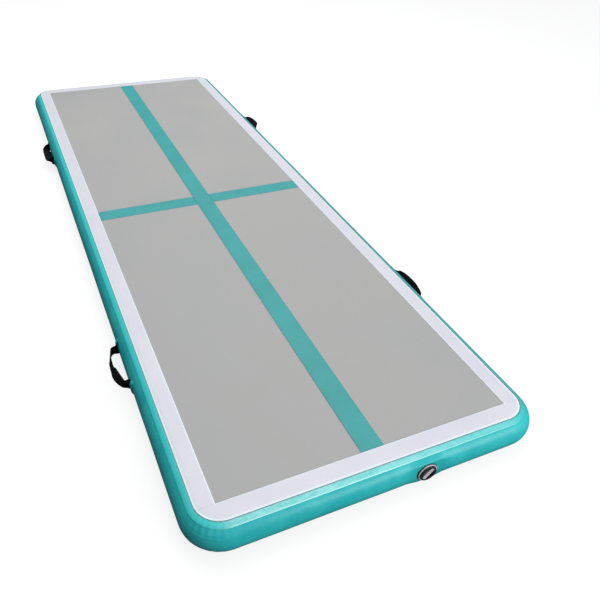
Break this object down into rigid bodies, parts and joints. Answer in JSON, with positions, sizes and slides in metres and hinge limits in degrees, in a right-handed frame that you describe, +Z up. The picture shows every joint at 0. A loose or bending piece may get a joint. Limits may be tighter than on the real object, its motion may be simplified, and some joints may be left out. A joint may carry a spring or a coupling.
{
  "type": "air track mat",
  "caption": "Inflated drop-stitch gymnastics mat with a grey top, white border, teal lines, round side wall, webbing handles and an air valve.",
  "frame": {"origin": "on the floor, at the middle of the mat's underside", "axes": "+Y along the mat's length, with the valve in the end wall at -Y; +Z up; +X to the right seen from the valve end"},
  "size_m": [1.072, 3.0003, 0.1],
  "materials": {
    "base_pvc": "matt coated fabric",
    "panel_pvc": "matt grained coated fabric",
    "border_pvc": "satin coated fabric",
    "teal_pvc": "satin coated fabric",
    "line_pvc": "matt coated fabric",
    "tape_pvc": "satin coated fabric tape",
    "yarn": "polyester yarn",
    "webbing": "woven webbing",
    "valve_plastic": "moulded plastic",
    "rubber": "moulded rubber",
    "spring_steel": "drawn wire"
  },
  "bodies": {
    "root": {"bottom_skin": "base_pvc", "drop_stitch_core": "yarn", "top_skin": "panel_pvc", "side_wall": "teal_pvc", "upper_seam_tape": "tape_pvc", "lower_seam_tape": "teal_pvc", "border_strip_near": "border_pvc", "border_strip_far": "border_pvc", "border_strip_left": "border_pvc", "border_strip_right": "border_pvc", "centre_line": "line_pvc", "cross_line_left": "line_pvc", "cross_line_right": "line_pvc", "handle_patch_left_near": "teal_pvc", "strap_tab_far_left_near": "webbing", "strap_tab_near_left_near": "webbing", "strap_cover_far_left_near": "teal_pvc", "strap_cover_near_left_near": "teal_pvc", "handle_patch_left_far": "teal_pvc", "strap_tab_far_left_far": "webbing", "strap_tab_near_left_far": "webbing", "strap_cover_far_left_far": "teal_pvc", "strap_cover_near_left_far": "teal_pvc", "handle_patch_right_near": "teal_pvc", "strap_tab_far_right_near": "webbing", "strap_tab_near_right_near": "webbing", "strap_cover_far_right_near": "teal_pvc", "strap_cover_near_right_near": "teal_pvc", "handle_patch_right_far": "teal_pvc", "strap_tab_far_right_far": "webbing", "strap_tab_near_right_far": "webbing", "strap_cover_far_right_far": "teal_pvc", "strap_cover_near_right_far": "teal_pvc", "valve_body": "valve_plastic", "valve_reinforcing_patch": "teal_pvc", "valve_gasket": "rubber", "valve_nut": "valve_plastic", "valve_spring": "spring_steel"},
    "grip_left_near": {"handle_grip_left_near": "webbing"},
    "grip_left_far": {"handle_grip_left_far": "webbing"},
    "grip_right_near": {"handle_grip_right_near": "webbing"},
    "grip_right_far": {"handle_grip_right_far": "webbing"},
    "cap_carrier": {"cap_swivel_ring": "valve_plastic"},
    "cap": {"valve_cap": "valve_plastic", "cap_seal": "rubber"},
    "plunger": {"valve_seal_disc": "rubber"},
    "pin": {"valve_pin": "valve_plastic"}
  },
  "joints": [
    {"name": "swing_left_near", "type": "hinge", "parent": "root", "child": "grip_left_near", "pos_m": [-0.511, -0.827, 0.05], "axis": [0, 1, 0], "range_deg": [-60, 60]},
    {"name": "swing_left_far", "type": "hinge", "parent": "root", "child": "grip_left_far", "pos_m": [-0.511, 0.731, 0.05], "axis": [0, 1, 0], "range_deg": [-60, 60]},
    {"name": "swing_right_near", "type": "hinge", "parent": "root", "child": "grip_right_near", "pos_m": [0.511, -0.785, 0.05], "axis": [0, -1, 0], "range_deg": [-60, 60]},
    {"name": "swing_right_far", "type": "hinge", "parent": "root", "child": "grip_right_far", "pos_m": [0.511, 0.773, 0.05], "axis": [0, -1, 0], "range_deg": [-60, 60]},
    {"name": "cap_pull", "type": "slide", "parent": "root", "child": "cap_carrier", "axis": [0, -1, 0], "range_m": [0, 0.05]},
    {"name": "cap_turn", "type": "hinge", "parent": "cap_carrier", "child": "cap", "pos_m": [0.117, -1.4997, 0.05], "axis": [0, 1, 0], "range_deg": [0, 90]},
    {"name": "pin_push", "type": "slide", "parent": "root", "child": "plunger", "axis": [0, 1, 0], "range_m": [0, 0.006], "stiffness_N_per_m": 800, "springref_m": -0.003, "deforming": ["valve_spring"]},
    {"name": "pin_turn", "type": "hinge", "parent": "plunger", "child": "pin", "pos_m": [0.117, -1.475, 0.05], "axis": [0, 1, 0], "range_deg": [0, 90]}
  ]
}
